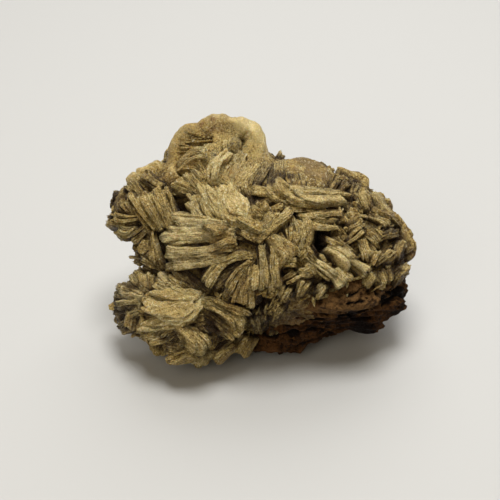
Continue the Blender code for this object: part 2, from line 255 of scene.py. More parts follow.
def build_grit():
    """Sugary grain: each crumb is a small tilted facet with its own shade, over finer noise."""
    tree = bpy.data.node_groups.new("Sugary Grit", "ShaderNodeTree")
    tree.interface.new_socket("Vector", in_out="INPUT", socket_type="NodeSocketVector")
    tree.interface.new_socket("Size", in_out="INPUT", socket_type="NodeSocketFloat")
    for label in ("Height", "Speckle", "Shade", "Gap"):
        tree.interface.new_socket(label, in_out="OUTPUT", socket_type="NodeSocketFloat")
    given = tree.nodes.new("NodeGroupInput").outputs
    scaled = Value(given["Vector"]).vector("SCALE", Value(given["Size"]), "Scale")
    crumbs = add_node(tree, "ShaderNodeTexVoronoi", {"Scale": 1.0, "Vector": scaled}).outputs
    colour = Value(crumbs["Color"])
    own_shade = Value(add_node(tree, "ShaderNodeSeparateColor", {0: colour}).outputs[0])
    from_middle = Value(crumbs["Distance"])
    offset = scaled.vector("SUBTRACT", Value(crumbs["Position"]))
    tilt = colour.vector("SUBTRACT", (0.5, 0.5, 0.5))
    facet = offset.vector("DOT_PRODUCT", tilt, output="Value")
    fine = noise(scaled, 0.9, 5.0, 0.65)
    made = {
        "Height": facet * 1.5 + fine + from_middle * -0.5,
        "Speckle": noise(scaled, 0.8, 2.0, 0.5).span(0.58, 0.66),
        "Shade": own_shade * 0.6 + fine * 0.8 - 0.2,
        "Gap": (from_middle + fine * 0.5).span(0.72, 1.05),
    }
    add_node(tree, "NodeGroupOutput", made)
    return tree


GRIT = build_grit()


def grit_at(place, size):
    """The grit's values at a place. A larger size makes the crumbs smaller."""
    node = add_node(place.tree, "ShaderNodeGroup", {"Vector": place, "Size": size}, node_tree=GRIT)
    return {socket.name: Value(socket) for socket in node.outputs}


def new_material(name):
    """A material, its shader, and the place on the piece as a value."""
    material = bpy.data.materials.new(name)
    material.use_nodes = True
    tree = material.node_tree
    place = Value(tree.nodes.new("ShaderNodeTexCoord").outputs["Object"])
    return material, tree.nodes["Principled BSDF"], place


def relief(height, distance):
    """The slope of a height as a normal. The distance, in metres, is how deep it reads."""
    node = add_node(height.tree, "ShaderNodeBump", {"Distance": distance, "Height": height})
    return Value(node.outputs["Normal"])


def rock_surface(ways):
    """The rock's skin, and how high each place on it stands, from 0 to 1: lowest in its pits and slits, where
    the colour paints shade.
    """
    points = wrap(ways, ROCK_CENTRE, lambda p: lumps_distance(p, ROCK_LUMPS, ROCK_BLEND), ROCK_REACH)
    height, size, seed = ROCK_CRUMBS
    rough = knobs(points, ROCK_KNOBS) + height * np.abs(layered_bumps(points, size, seed))
    bed = points @ BEDDING / LEDGE_STEP + waver(points, *LEDGE_WAVER)
    ledge = np.abs((bed % 1.0) - 0.5) * 2.0
    crack = bumps(points * SLIT_STRETCH + waver(points, *SLIT_WAVER)[:, None], 3.2, 15)
    slit = held(1.0 - np.abs(crack) / SLIT_WIDTH) * (bumps(points, 9.0, 16) > SLIT_PLACES)
    points = points + ways * (rough + LEDGE_DEPTH * (ledge - 0.5) - SLIT_DEPTH * slit)[:, None]
    pitted = 0.75 * slit
    for centre, radius, depth in ROCK_PITS:
        near = np.linalg.norm(points - np.array(centre, float), axis=1) / radius
        sink = held(1.0 - near**2) ** 1.5
        points = points - ways * (sink * depth)[:, None]
        pitted = np.maximum(pitted, sink)
    points[:, 2] = np.maximum(points[:, 2], 0.0)
    return points, held(0.5 + 0.2 * rough - pitted)


def rock_material():
    """Dark brown rock with rusty patches and an ochre seam under the crystals. Painted shade turns its pits
    and slits black, and two flat pits are black nodules.
    """
    material, shader, place = new_material("iron_stained_rock")
    broad = noise(place, 110.0, 5.0, 0.65, 0.6)
    fine = noise(place, 480.0, 5.0, 0.65)
    grit = grit_at(place, 1000.0)
    rise = attribute(place.tree, "rise")
    # The rise value paints shade: lighter and rustier on raised knobs, darker in pits and slits.
    level = broad * 0.8 + rise * 0.35 + grit["Shade"] * 0.25
    band = attribute(place.tree, "seam") + (fine - 0.5) * 2.2 + (grit["Shade"] - 0.5) * 0.6
    colour = level.span(0.52, 0.92).blend(ROCK_BROWN, ROCK_RUST)
    colour = band.span(0.45, 1.25, 0.0, 0.85).blend(colour, SEAM_OCHRE)
    colour = fine.span(0.60, 0.74, 0.0, 0.8).blend(colour, SPECK_RUST)
    plug(shader, {
        # Painted shade: pits and slits go black. The two flat pits are black nodules.
        "Base Color": rise.span(0.08, 0.46).blend(PIT_SHADE_AND_NODULE_BLACK, colour),
        "Roughness": fine.span(0.35, 0.7, 0.62, 0.95),
        "Specular IOR Level": 0.12,
        "Normal": relief(grit["Height"], 0.0012),
    })
    return material


ways, triangles = ball(7)
rock_points, rock_shading = rock_surface(ways)
seam = held((rock_points @ SEAM_RISE - SEAM_LEVEL) / SEAM_SPREAD)
masks = {"rise": rock_shading, "seam": seam}
add_piece("matrix_rock", rock_points, triangles, masks, rock_material(), "matrix")

# ---------------------------------------------------------------------------------------------
# The grown-together mass: rounded lobes of barite that met as they grew. Between the sheaves it
# is a dark, sugary crust of small crystals, darkened further by painted shade, and stained by iron near the
# rock and at the right end.

LOBES = {
    "middle": ((1, -2, 36), (39, 32, 30)),
    "right": ((30, 1, 33), (25, 27, 19)),
    "crest_left": ((-23, 25, 53.5), (11.5, 12, 17)),
    "crest_middle": ((-14.5, 27, 56), (11, 11, 15.5)),
    "crest_right": ((-8.5, 27, 55.5), (13.5, 12.5, 18)),
    "shoulder": ((18.5, 19, 41), (24, 13, 16.5)),
    "left": ((-42, 9, 44.5), (14, 13, 13)),
    "left_waist": ((-36, 0, 30), (7, 12, 12)),
    "left_foot": ((-42.5, -14, 17.5), (11.5, 11, 12.5)),
    "front": ((-23, -21, 19.5), (19.5, 18, 15)),
}
# Low swellings on the lobes that only the skin has.
SWELLINGS = [
    ((-37.5, 12, 51), (9.5, 8.5, 8.5)), ((-30, 17, 50), (8, 8, 8)), ((11.5, 22, 52.4), (9.5, 7, 6.5)),
]
MASS_LUMPS = list(LOBES.values()) + [ROCK_LUMPS[0]] + SWELLINGS
MASS_CENTRE = np.array((-5.0, 0.0, 32.0))
MASS_BLEND = 3.0
MASS_REACH = 95.0
# The rock's big lumps: where the crystals sit on them, the iron stains them.
SEAT_LUMPS = ROCK_LUMPS[:2]
SEAT_STAIN = 5.0
STAIN_EDGE_X = 36.0
STAIN_REACH = 22.0
# The crust between the sheaves lies under the lobes' skin. Its crumbs: height, size, seed.
CRUST_SINK = 3.2
CRUST_CRUMBS = ((0.9, 5.0, 17), (0.5, 1.7, 23))

# The display face, tilted back from upright: places on it are (across, up).
FACE_CENTRE = np.array((-2.9, 0.0, 34.0))
FACE_TILT = math.radians(35.0)
FACE_RIGHT = np.array((1.0, 0.0, 0.0))
FACE_UP = np.array((0.0, math.sin(FACE_TILT), math.cos(FACE_TILT)))
FACE_OUT = np.array((0.0, -math.cos(FACE_TILT), math.sin(FACE_TILT)))
SIGHT = 620.0
EYE = FACE_CENTRE + FACE_OUT * SIGHT

# Open hollows between sheaves: across, up, radius, depth.
HOLLOWS = [
    (26.5, 4.5, 6, 9), (-22, 31, 5, 5), (-26, 17, 4.5, 7), (-16, -7.5, 6, 6),
    (2.5, -21.5, 5.5, 4), (39.5, 8, 3, 3.5), (7.5, -8, 4, 3.5), (31, -12.5, 3.5, 3),
    (-8, -24.5, 5, 4), (-46, 7, 4, 3), (34.5, 23.8, 4.6, 4.5), (-33, -8, 4, 4),
    (-2.7, 38.3, 1.8, 6), (-1.5, 39.7, 1.8, 6), (-0.4, 41.1, 1.6, 5), (-15.5, 42, 1.2, 2),
]

# Worn bosses, where the crests are rubbed smooth: across, up, radius, tone, polish.
# The shoulder boss, at across 21, has a tone below zero: painted shade that dims its top, which the top lamp
# lights strongly.
WORN_BOSSES = [
    (-2, 41, 13.5, 0.75, 0.85), (-23, 40, 12.5, 0.3, 0.8), (-13, 45, 11, 0.35, 0.85),
    (21, 30, 11.5, -0.9, 0.7), (-25.5, 30, 5.5, 0.6, 0.4),
    (-35.5, 31.5, 4, 0.35, 0.6), (-39.5, 30, 3.5, 0.35, 0.6), (-43.5, 27, 3.5, 0.4, 0.6),
]
WORN_LIFT = 1.0
# The layers that show through a worn boss lie level, and its ribs run across.
LAYER_STRETCH = np.array((0.22, 0.22, 1.0))
RIB_STRETCH = np.array((1.0, 0.2, 0.25))

# The crest is a hood: a thick pale rim round a shallow, fluted hollow. Middle, half sizes.
HOOD_MIDDLE = (-12.5, 34.0)
HOOD_HALF = (19.5, 16.5)
HOOD_SINK = 3.0
# Where the hollow ends and the rim starts, as shares of the half sizes, and over how much.
HOOD_EDGE = (0.86, 0.22)
HOOD_RIM = (0.78, 0.12)
HOOD_RIM_LEVEL = 18.0
FLUTE_SIZE = (1.5, 9.0)

# Iron spots: across, up, radius, strength.
RUST_SPOTS = [
    (-15, 46.3, 4, 0.75), (-10.5, 45, 2.6, 0.65), (-21, 42, 2.2, 0.5), (-17, 40.5, 2, 0.4),
    (52.6, 13.3, 3.6, 1.2), (50, 17.5, 2.5, 1), (58, -4, 2.6, 1), (2, -11, 2, 1),
    (-44, 15, 2.5, 0.5), (34, 24, 3.5, 0.4), (-33, -5, 3, 0.5), (49, 3, 2.5, 0.5),
    (-38.5, 27, 2.6, 0.5), (-1.5, 29.5, 2.6, 0.45),
]

# Barite's colours, from the shaded flanks to the crests, and those of its stains and specks.
BARITE_BROWN = (0.19, 0.113, 0.029, 1)
BARITE_KHAKI = (0.59, 0.418, 0.132, 1)
BARITE_CREAM = (0.98, 0.785, 0.385, 1)
BARITE_OLIVE = (0.36, 0.295, 0.14, 1)
BARITE_AMBER = (0.52, 0.32, 0.10, 1)
WORN_GREY = (0.19, 0.135, 0.055, 1)
WORN_PALE = (0.50, 0.435, 0.22, 1)
IRON_BROWN = (0.085, 0.036, 0.014, 1)
IRON_TAN = (0.30, 0.16, 0.06, 1)
IRON_OCHRE = (0.66, 0.38, 0.12, 1)
GLINT_CREAM = (0.95, 0.85, 0.55, 1)
FLECK_BROWN = (0.10, 0.060, 0.018, 1)
DEPTH_SHADE_BROWN = (0.042, 0.020, 0.005, 1)


def mass_distance(points):
    return lumps_distance(points, MASS_LUMPS, MASS_BLEND)


def mass_normals(points):
    shifts = 0.5 * np.eye(3)
    rise = [mass_distance(points + shift) - mass_distance(points - shift) for shift in shifts]
    return unit(np.stack(rise, axis=1))


def face_points(across, up, stand_off=0.0):
    """Places on the mass behind points of the display face, raised towards the viewer."""
    sight = unit(FACE_CENTRE + np.outer(across, FACE_RIGHT) + np.outer(up, FACE_UP) - EYE)
    travel = np.full(len(sight), SIGHT - 90.0)
    closest = np.full(len(sight), 1e9)
    best = travel.copy()
    for _ in range(70):
        gap = mass_distance(EYE + sight * travel[:, None])
        better = gap < closest
        closest = np.where(better, gap, closest)
        best = np.where(better, travel, best)
        travel = travel + np.where(gap > 0.02, np.maximum(gap * 0.8, 0.15), 0.0)
    return EYE + sight * (best - stand_off)[:, None], -sight


def face_spots(rows):
    """Places on the mass behind the first two values, across and up, of each row."""
    table = np.array([row[:2] for row in rows])
    return face_points(table[:, 0], table[:, 1])[0]


def near_spots(points, rows):
    """For each row, how many radii the points are from its place, and its other values."""
    for centre, (_, _, radius, *others) in zip(face_spots(rows), rows):
        yield np.linalg.norm(points - centre, axis=1) / radius, others


def stain(points):
    """Iron stain: strongest at the right rim, where the crystals meet the rock, and in spots."""
    rim = held((points[:, 0] - STAIN_EDGE_X) / STAIN_REACH) ** 1.5
    seat = held(1.0 - lumps_distance(points, SEAT_LUMPS, 2.0) / SEAT_STAIN)
    spots = np.zeros(len(points))
    for near, (strength,) in near_spots(points, RUST_SPOTS):
        spots = np.maximum(spots, strength * held(1.5 - near))
    return held(0.6 * rim + 0.6 * seat + spots + waver(points, 0.25, 8.0, 31))


def sink_at_hollows(points):
    """How far each point sinks at the hollows."""
    sunk = np.zeros(len(points))
    for near, (depth,) in near_spots(points, HOLLOWS):
        sunk = np.maximum(sunk, depth * held(1.2 - near**2))
    return sunk


def worn_share(points):
    """How much each point belongs to a worn boss, from 0 to 1, and that boss's tone and polish."""
    share, tone, polish = np.zeros((3, len(points)))
    weight = 1e-6
    for near, (own_tone, own_polish) in near_spots(points, WORN_BOSSES):
        pull = np.clip(1.6 - near, 0.0, 2.0) ** 3
        tone += own_tone * pull
        polish += own_polish * pull
        weight = weight + pull
        share = np.maximum(share, held(2.2 - 2.0 * near))
    facing = mass_normals(points) @ FACE_OUT
    return share * held(1.0 + 2.5 * facing), tone / weight, polish / weight


def hood(points):
    """The crest's hood: how much each point lies in its hollow and on its rim, and the flutes."""
    sight = points - EYE
    scale = SIGHT / -(sight @ FACE_OUT)
    across = (points @ FACE_RIGHT - FACE_CENTRE @ FACE_RIGHT) * scale
    up = (sight @ FACE_UP) * scale
    off = ((across - HOOD_MIDDLE[0]) / HOOD_HALF[0], (up - HOOD_MIDDLE[1]) / HOOD_HALF[1])
    near = np.hypot(*off) + waver(points, 0.05, 6.0, 83)
    inside = held((HOOD_EDGE[0] - near) / HOOD_EDGE[1])
    inside = inside * inside * (3.0 - 2.0 * inside)
    rim = held((near - HOOD_RIM[0]) / HOOD_RIM[1]) * (up > HOOD_RIM_LEVEL)
    places = np.column_stack((across / FLUTE_SIZE[0], up / FLUTE_SIZE[1], np.zeros(len(points))))
    return inside, rim, bumps(places, 1.0, 87)


def worn_relief(points, hollow, flutes, layers, polish):
    """The height of a worn boss: low swells, fine grain, layers, ribs and chips, less where polished."""
    dull = 1.0 - polish
    ribs = bumps(points * RIB_STRETCH, 1.2, 29)
    chips = np.maximum(bumps(points, 3.0, 91) - 0.45, 0.0)
    height = 0.6 * bumps(points, 7.0, 19) + (0.40 - 0.28 * polish) * bumps(points, 1.2, 33)
    height += (0.16 + 0.35 * hollow) * layers + dull * 0.4 * ribs - 0.5 * chips
    height += dull * 0.6 * bumps(points, 2.6, 35) + 0.35 * flutes - HOOD_SINK * hollow + WORN_LIFT * polish
    return height


def barite_material():
    """Khaki barite under a sugary skin: cream crests, olive and brown flanks, partly painted light and shade,
    and painted shade in the gaps.
    """
    material, shader, place = new_material("barite_blades")
    names = ("tone", "crest", "rise", "rust", "smooth")
    tone, crest, rise, rust, smooth = (attribute(place.tree, name) for name in names)
    grit = grit_at(place, 2300.0)
    dust = grit_at(place, 1300.0)
    streaks = noise(attribute(place.tree, "grain", "Vector"), 1.6, 4.0, 0.6, 0.4)
    blotch = noise(place, 170.0, 5.0, 0.62, 0.5)
    hue = noise(place, 62.0, 3.0, 0.5)

    # How light it is: by plate and by crest, partly painted light and shade, then sugar, painted shade in the
    # gaps between crumbs, blotches and fibres.
    sugar = (grit["Shade"] + dust["Shade"] - 1.0) * smooth.span(0.0, 1.0, 0.74, 0.17)
    # Painted shade in the gaps between crumbs.
    gaps = grit["Gap"] * smooth.span(0.0, 1.0, -0.30, -0.08)
    level = tone * 0.48 + crest * 0.46 + sugar + (gaps + 0.20) + (blotch - 0.5)
    level = level + (streaks - 0.5) * smooth.span(0.2, 0.8, 0.85, 0.3)
    base = level.span(0.0, 0.55).blend(BARITE_BROWN, BARITE_KHAKI)
    base = level.span(0.5, 1.15).blend(base, BARITE_CREAM)
    base = hue.span(0.50, 0.68, 0.0, 0.36).blend(base, BARITE_OLIVE)
    base = hue.span(0.46, 0.32, 0.0, 0.4).blend(base, BARITE_AMBER)
    worn_colour = tone.span(0.35, 0.8).blend(WORN_GREY, WORN_PALE)
    base = (smooth * blotch.span(0.35, 0.65, 0.8, 0.3)).blend(base, worn_colour)

    # Then iron stain, pale specks painted as glints, dark specks, and painted shade low down between the
    # plates.
    ochre = rust.span(0.78, 1.0).blend(IRON_TAN, IRON_OCHRE)
    iron = streaks.span(0.35, 0.65).blend(IRON_BROWN, ochre)
    stained = rust * blotch.span(0.42, 0.60, 0.05, 1.0)
    base = stained.span(0.15, 0.8, 0.0, 0.85).blend(base, iron)
    # Painted glints: pale specks on the crests, fewer where the skin is polished.
    pale = dust["Speckle"] * crest.span(0.1, 0.7, 0.2, 0.9) * smooth.span(0.2, 0.8, 1.0, 0.3)
    base = pale.blend(base, GLINT_CREAM)
    base = (grit["Speckle"] * crest.span(0.5, 0.0, 0.05, 0.6)).blend(base, FLECK_BROWN)
    # Painted shade: the colour darkens where the rise value is low, deep between the plates and close to the
    # mass.
    unshaded = rise + (blotch - 0.5) * 0.5
    base = unshaded.span(0.03, 0.57).blend(DEPTH_SHADE_BROWN, base)

    height = streaks * 0.9 + grit["Height"] * smooth.span(0.0, 1.0, 1.0, 0.22)
    plug(shader, {
        "Base Color": base,
        "Roughness": grit["Shade"].span(0.3, 0.85, 0.62, 0.18),
        "Specular IOR Level": 0.3,
        "Subsurface Weight": smooth.span(0.1, 0.9, 0.18, 0.5),
        "Subsurface Radius": (1.0, 0.7, 0.3),
        "Subsurface Scale": 0.0016,
        "Sheen Weight": 0.05,
        "Sheen Roughness": 0.35,
        "Sheen Tint": (1.0, 0.94, 0.76, 1.0),
        "Normal": relief(height, 0.00085),
    })
    return material


BARITE = barite_material()


def add_crystals(name, points, faces, masks):
    return add_piece(name, points, faces, masks, BARITE, "barite_crystals")


mass_points = wrap(ways, MASS_CENTRE, mass_distance, MASS_REACH)
mass_out = mass_normals(mass_points)
worn, worn_tone, polish = worn_share(mass_points)
sunk = sink_at_hollows(mass_points)
mass_points = mass_points - mass_out * sunk[:, None]
crumble = knobs(mass_points, CRUST_CRUMBS)
hollow, rim, flutes = hood(mass_points)
layers = bumps(mass_points * LAYER_STRETCH, 1.1, 89)
steps = worn_relief(mass_points, hollow, flutes, layers, polish)
grown = (1.0 - worn) * (crumble - CRUST_SINK) + worn * steps
mass_points = mass_points + mass_out * grown[:, None]
mass_points[:, 2] = np.maximum(mass_points[:, 2], 1.0)
# Painted light and shade on the crust: clear is lower on low crumbs, in the hollows and in the hood's hollow,
# and higher on raised layers. Tone is paler on higher crumbs, and crest is darker in the hood's hollow.
clear = 0.30 + 0.16 * crumble - 0.15 * sunk + worn * (1.0 - 0.35 * hollow + 0.3 * layers)
masks = {
    "tone": held(0.3 + 0.3 * crumble) * (1.0 - worn) + worn_tone * worn,
    "crest": worn * (0.35 + 0.5 * rim - 0.3 * hollow - 0.2 * flutes + 0.35 * layers),
    "smooth": worn * polish * (1.0 - 0.5 * hollow),
    "rise": held(clear),
    "rust": stain(mass_points),
    "grain": mass_points * np.array((1.1, 0.3, 0.3)),
}
add_crystals("crust_between_sheaves", mass_points, triangles, masks)

# ---------------------------------------------------------------------------------------------
# The sheaves of the display side: books of thick, blunt barite plates that fan out from a root.
# Each plate is a stack of thin layers with a worn, rounded crest; only its outer part is free.

# Each row: root (across, up), tip (across, up), width, plates, roll in degrees, stand-off, depth,
# tone, bow if any. A sheaf rolled past FACE_ON shows its plates' faces, so it is made of leaves.
# The tone of the first rows of the middle is raised as painted light, since those plates face the viewer and
# the lamps light them little.
SHEAVES = {
    "middle": [
        (-9, 8.4, -30.5, 8.8, 4.4, 2, 8, 7.5, 11, 1.6, 0.8),
        (-7, 4.8, -34, 4.2, 6.4, 3, 12, 8, 11, 1.7, 0.5),
        (-8, 1.2, -33, -0.8, 4.6, 2, 0, 7.5, 11, 1.6, -0.8),
        (-10, -2.4, -32.4, -5, 4.2, 2, -8, 6, 11, 1.3, -0.8),
        (-7, 7.4, -12.5, 6.4, 2.6, 1, 20, 7.5, 8, 0.5), (-4.5, 3.5, -11, 3, 2.4, 1, -10, 6.5, 8, 0.5),
        (-15.2, 9, -23, 21, 3.8, 2, 15, 6.5, 11, 1.15, -1.5),
        (-7.7, 10.2, -19, 25.5, 7, 4, 62, 6.5, 12, 0.85), (-12, 9, -19.5, 22.5, 3.5, 2, 20, 6, 11, 0.9, -1),
        (-2.2, 9.5, -8.8, 25, 12, 4, 62, 4.5, 15, 0.75), (4.5, 4.5, -6, 10, 4.5, 2, 40, 3, 9, 0.6),
        (5, 2.5, -4.5, 7, 2.5, 1, 8, 2.5, 8, 0.65), (4.5, 7.5, 10, 15.5, 7.5, 4, 35, 3.5, 9, 0.65),
        (2.5, 3, 15, 14.5, 3, 1, 0, 6, 10, 0.75), (18, 0.5, 18, 13, 7, 4, 10, 4.5, 11, 0.7, 1.5),
        (14, 1.5, 14, 9.5, 4.5, 3, 15, 2.5, 9, 0.45, 1), (9, 6, 16, -4.5, 6.5, 3, 42, 3.5, 10, 0.6, -1.5),
        (4.5, 1.5, 5, -14.5, 3.5, 2, 0, 5, 10, 0.8), (8.5, 1.5, 9, -15, 3.5, 2, -5, 4.5, 10, 0.7),
        (2.5, -5.5, 2, -15, 2.5, 1, 0, 5.5, 8, 0.95), (0.5, -13, 0.5, -22.5, 2, 1, 0, 3.5, 7, 0.9),
        (0, -2.5, -17.5, -15.5, 4.5, 3, 12, 4, 10, 0.65, 3.5),
        (0.5, -4.5, -10, -16.5, 3.5, 2, 5, 3, 9, 0.55, 1), (0, -6.5, -2.5, -21.5, 4.5, 3, 0, 2.5, 8, 0.5),
        (-1.5, -6.5, -6, -21, 3, 2, -15, 2, 8, 0.5), (-16, -18.5, -1.5, -29, 6, 3, 15, 5, 10, 0.7, -2),
        (-13, -18, 0, -24.5, 3, 2, 0, 3, 8, 0.6), (-21, -24.5, -4.5, -32.5, 3.5, 2, 0, 1.5, 8, 0.3),
        (-17, -17, -30.5, -7.5, 8.5, 4, 25, 2.5, 10, 0.5), (-6, 3.5, -11, 6, 3, 1, 20, 5, 8, 0.9),
        (12, -11.5, 17, -8, 3.5, 2, 5, 1.5, 8, 0.5), (11.5, -4.5, 18, -5, 3, 2, 0, 2, 8, 0.5),
        (17, -17, 19.5, -11, 4.5, 3, 10, 1.5, 8, 0.55), (11, -19.5, 13, -14, 4.5, 3, 10, 1.2, 8, 0.5),
        (23.5, -17.5, 26.5, -12.5, 4, 3, 10, 1.2, 8, 0.5), (7.5, -26.5, 11, -21, 3.5, 3, 5, 1, 8, 0.45),
        (4.5, -31, 3, -25, 4.5, 4, 0, 1, 8, 0.35),
    ],
    "front": [
        (-16.5, -18.8, -32.8, -14.4, 4, 2, 15, 5.5, 11, 0.8, -1),
        (-17, -17.5, -37.5, -14.5, 7, 3, 50, 4.2, 11, 0.55),
        (-17.5, -19.2, -40.5, -21.8, 13, 3, 54, 6, 11, 0.75),
        (-19, -22.5, -41.5, -28, 8, 3, 60, 3.8, 11, 0.6), (-21, -24, -39.5, -31, 6, 3, 60, 3.5, 11, 0.3),
        (-28, -25.5, -37.5, -33.5, 3.5, 2, 5, 3.5, 10, 0.6),
        (-23.5, -26.5, -31.5, -34.5, 6, 4, 10, 1.5, 9, 0.45),
        (-22, -34.5, -32.5, -35.5, 6.5, 4, 25, 2, 11, 0.45, -1),
        (-25, -26, -15.5, -35.5, 6, 3, 25, 4, 11, 0.6), (-24, -32, -17, -41, 3.5, 2, 5, 3, 9, 0.4),
        (-15.5, -33, -23.5, -39.5, 4.5, 3, 20, 2, 9, 0.4), (-6.5, -34, -15.5, -40, 5, 4, 20, 1.5, 8, 0.55),
        (-2, -32, -6.5, -38.5, 4.5, 3, 10, 1, 8, 0.55),
    ],
    "left_foot": [
        (-41.5, -18, -50.5, -15.5, 7.5, 4, 15, 2.5, 9, 1.65),
        (-41.5, -20.5, -51.5, -22.5, 7, 4, 10, 2.5, 9, 1.55),
        (-41.5, -24, -49.5, -28.5, 6, 3, 15, 2, 9, 1.4), (-40, -15, -45, -8.5, 6.5, 4, 15, 2.5, 9, 1.4),
        (-37.5, -14, -38, -7.5, 5, 3, 20, 2, 9, 1.25), (-43, -24.5, -44, -30, 5, 3, 10, 1.5, 8, 0.85),
        (-37.5, -26, -38, -31.5, 4.5, 3, 10, 1, 8, 0.75), (-28, -17.5, -36, -10.5, 8, 5, 20, 3, 9, 1.5),
    ],
    "left": [
        (-34.3, 7.3, -44, 21.5, 3.5, 2, 0, 4, 10, 0.45),
        (-31.8, 7.7, -39.8, 22.5, 4.5, 2, 5, 4.5, 10, 0.65), (-29, 8.8, -36, 23.5, 4, 2, 5, 4, 10, 0.5),
        (-27.5, 11, -32.5, 23.5, 3.5, 2, 10, 3, 10, 0.4), (-42.5, 13, -47, 18.5, 4, 3, 5, 2, 9, 0.35),
        (-41.5, 11.5, -50.5, 11.5, 2.5, 2, 5, 4, 8, 0.85),
        (-42.5, 7.5, -49.5, 7.5, 5, 4, 10, 3, 9, 1.35, -1.5),
        (-34.5, 10, -45, 2.5, 3.5, 2, 5, 3.5, 9, 0.55), (-36, 7.5, -33, -4.5, 4.5, 3, 0, 2, 9, 0.45),
        (-32.5, -6.5, -41, -1.5, 5, 4, 15, 1.5, 9, 0.6), (-46.5, 10, -52.5, 12, 4.5, 3, 10, 1.5, 8, 0.5),
        (-33.5, 23, -41, 28, 4.5, 3, 10, 1.6, 8, 0.45), (-40.5, 21, -45.5, 25.5, 4.5, 3, 5, 1.2, 8, 0.3),
    ],
    "crest": [
        (-15.5, 27.5, -21, 36, 11.5, 5, 35, 3.5, 11, 0.7), (-12, 30.5, -14, 39.5, 5, 3, 10, 3, 9, 0.8),
        (-7.5, 33, -8, 40.5, 5, 3, 20, 2.5, 9, 0.95), (-27, 30, -11, 33.5, 4.5, 2, 5, 6.5, 9, 1.35, -3.5),
        (-16.5, 27.5, -26, 30.5, 4, 2, 5, 3.5, 9, 0.6, 2), (-13.5, 24, -6, 36, 8.5, 3, 50, 5.5, 12, 0.8),
        (-7, 22.5, -1.5, 35, 5, 2, 25, 5, 12, 0.65), (-2.5, 24, 3.5, 34.5, 3.5, 2, 0, 5, 10, 0.75),
        (1.5, 23, 7.5, 34, 4, 3, 5, 4.5, 10, 0.7), (8, 23, 10, 34.5, 6, 3, 15, 3, 10, 0.65),
        (-22.5, 21, -29, 23.5, 5.5, 3, 20, 2.5, 9, 0.7), (-17.5, 21.5, -24, 29, 7.5, 4, 15, 3, 9, 0.75),
        (-9.5, 23, -17, 29, 7, 4, 20, 3, 9, 0.65), (-14.5, 40.5, -25.5, 41.2, 5, 6, 0, 0.5, 5, -0.25, -0.5),
        (-17.5, 37, -27, 36.8, 3.2, 4, 0, 0.6, 5, -0.05), (-5, 30, -4, 37, 5, 3, 12, 2.5, 8, 0.9),
    ],
    "right": [
        (18, 16.5, 6, 22.5, 7.5, 4, 18, 4, 10, 0.55, -1.5), (11.5, 19.5, 0.5, 22, 3.5, 2, 5, 3.5, 8, 0.6),
        (4.5, 15, 13, 18, 3.5, 3, 5, 2.5, 8, 0.35, 1.5), (5, 12, 0.5, 14, 4.5, 3, 10, 3, 8, 0.6),
        (37, 19.5, 17.5, 20, 3.5, 2, 5, 6, 10, 1), (36, 16, 17, 17, 3.5, 2, 28, 6.5, 10, 1.05),
        (34.5, 13, 19, 13, 2, 1, 0, 4.5, 9, 0.75), (33.5, 10.5, 22.5, 11, 2, 1, 0, 4, 9, 0.85),
        (33.5, 8, 22.5, 8.5, 2, 1, 0, 4, 9, 0.9), (16, 21, 15.5, 27, 6, 4, 10, 1.5, 9, 0.1),
        (16, 24.5, 14.5, 32.5, 5, 4, 5, 1, 8, 0), (19.5, 25, 18.5, 33, 2, 1, 0, 2.5, 8, 0.7),
        (44, 13.5, 52, 9, 4, 2, 35, 2.5, 8, 0.62), (46.5, 4, 55.5, 7.5, 3.5, 2, 5, 2.5, 8, 0.57),
        (41.5, 7.5, 48, 1.5, 3.5, 2, 10, 2.5, 8, 0.62), (40.5, 4.5, 43.5, -3.5, 4.5, 3, 5, 2, 8, 0.62),
        (36, 3.5, 42.5, 9, 2.5, 2, 0, 2.5, 8, 0.57), (37, 8, 42.5, 11.5, 3, 2, 10, 2, 8, 0.52),
        (47.5, -3.5, 53.5, 1, 3, 2, 10, 2, 8, 0.62), (44.5, -4.5, 46.5, 0.5, 3.5, 3, 0, 1.5, 8, 0.67),
        (34.5, 1.5, 29, 3.5, 2, 1, 0, 3, 8, 0.4), (29, 2.5, 39, -4.5, 4.4, 2, 38, 3.6, 9, 1.35),
        (36, -2.5, 44.5, -8, 2.8, 2, 15, 4, 8, 1.5), (22.5, -3.5, 33.5, -10, 3.5, 2, 8, 4.5, 9, 1.35),
        (31, -7.5, 35.5, -13.5, 5.5, 2, 12, 3.5, 9, 1.4), (41, 16.5, 38.5, 22.5, 4.5, 3, 5, 2, 8, 0.5),
        (46.5, 15.5, 43, 22, 4.5, 3, 10, 1.5, 8, 0.55), (50.5, 11.5, 47.5, 17, 3.5, 3, 10, 1.2, 8, 0.6),
        (53.5, 0, 56, 5, 4.5, 3, 10, 1.2, 8, 0.5), (54, -8, 58, -4.5, 5, 3, 10, 1.2, 8, 0.55),
        (48.5, -8, 49.5, -13, 4.5, 3, 10, 1.5, 8, 0.6), (41.5, -12.5, 45.5, -8, 4.5, 3, 10, 1.5, 8, 0.5),
        (24, -4.5, 19.5, 1, 4, 3, 5, 2, 8, 0.55), (18, -3, 22.5, 2, 3, 2, 0, 2.5, 8, 0.5),
        (18, -9, 24, -7.5, 3, 2, 0, 2, 8, 0.55), (29.5, 23, 33, 28.5, 3.5, 3, 10, 0.3, 8, -0.3),
        (33.5, 22, 37, 27, 3.5, 3, 5, -0.5, 8, -0.5), (37, 21, 39.5, 25.5, 3.5, 3, 10, 0.2, 8, -0.3),
    ],
}
# A plate: its layers' thickness, its point spacing, and the rows of points down its flanks.
LAYER = 0.82
SAMPLE = 0.5
UNDER_SAMPLE = 0.9
FLANK_INSETS = (0.8, 2.0, 4.0)
